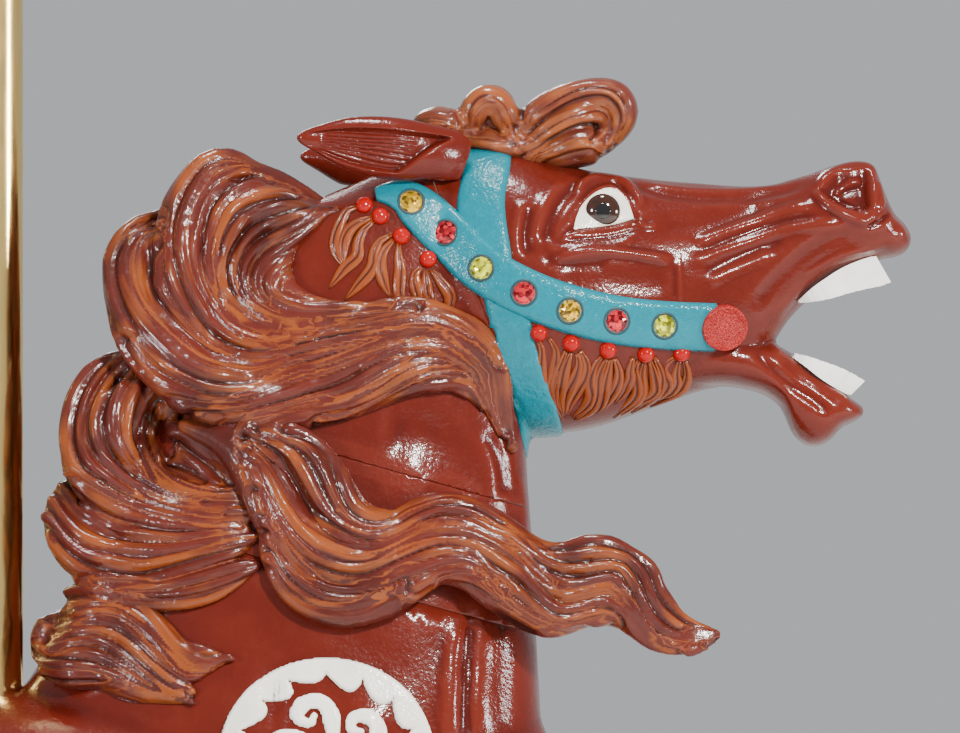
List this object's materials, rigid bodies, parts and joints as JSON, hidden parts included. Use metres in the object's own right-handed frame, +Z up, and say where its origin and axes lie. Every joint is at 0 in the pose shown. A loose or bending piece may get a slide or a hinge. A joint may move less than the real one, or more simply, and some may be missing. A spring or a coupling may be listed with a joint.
{
  "type": "carousel horse on a pole",
  "caption": "Carved and painted wooden jumping horse with an open mouth, flying mane, jewelled bridle and saddle, carried on a vertical brass pole.",
  "frame": {"origin": "centre of the flat underside of the pole's foot, on the ride's platform", "axes": "+Z up along the pole, +X the way the horse faces, -Y out of its right side, which is the outer side on the ride and the one in the picture"},
  "size_m": [1.505, 0.396, 2],
  "materials": {
    "coat": "gloss varnish over red-brown paint",
    "mane_paint": "gloss varnish over red-brown paint with ochre combed along the ridges",
    "teal_paint": "gloss teal paint on carved straps",
    "red_paint": "gloss red paint",
    "white_paint": "cream-white paint, slightly worn",
    "gold_paint": "old gold paint on carved edging",
    "hoof_paint": "gloss near-black paint",
    "eye_glass": "brown glass eye",
    "jewel_amber": "faceted glass with foil behind",
    "jewel_red": "faceted glass with foil behind",
    "jewel_green": "faceted glass with foil behind",
    "red_glitter": "red glitter set in varnish",
    "strap_leather": "black leather",
    "brass": "polished"
  },
  "bodies": {
    "root": {"head": "coat", "neck_upper": "coat", "neck_lower": "coat", "body": "coat", "lower_jaw": "coat", "foreleg_right": "coat", "fore_hoof_right": "hoof_paint", "foreleg_left": "coat", "fore_hoof_left": "hoof_paint", "hindleg_right": "coat", "hind_hoof_right": "hoof_paint", "hindleg_left": "coat", "hind_hoof_left": "hoof_paint", "ear_right": "coat", "eye_right": "eye_glass", "rosette_right": "red_glitter", "jewelled_strap_right": "teal_paint", "jewel_1": "jewel_amber", "jewel_2": "jewel_red", "jewel_3": "jewel_green", "jewel_4": "jewel_red", "jewel_5": "jewel_amber", "jewel_6": "jewel_red", "jewel_7": "jewel_green", "ear_left": "coat", "eye_left": "eye_glass", "rosette_left": "red_glitter", "jewelled_strap_left": "teal_paint", "crown_strap": "teal_paint", "throat_strap": "teal_paint", "upper_teeth": "white_paint", "lower_teeth": "white_paint", "mane_upper": "mane_paint", "mane_flying_lock": "mane_paint", "mane_middle": "mane_paint", "mane_lower": "mane_paint", "mane_left_upper": "mane_paint", "mane_left_middle": "mane_paint", "mane_left_lower": "mane_paint", "forelock": "mane_paint", "tail": "mane_paint", "medallion_right": "white_paint", "medallion_left": "white_paint", "saddle_cloth": "teal_paint", "saddle_flap_right": "red_paint", "saddle_flap_left": "red_paint", "saddle": "red_paint", "girth": "teal_paint", "crupper": "teal_paint", "breast_strap": "teal_paint", "stirrup_right": "brass", "stirrup_strap_right": "strap_leather", "stirrup_left": "brass", "stirrup_strap_left": "strap_leather", "pole": "brass", "pole_foot": "brass", "pole_top_cap": "brass", "pole_collar": "brass"}
  },
  "joints": []
}
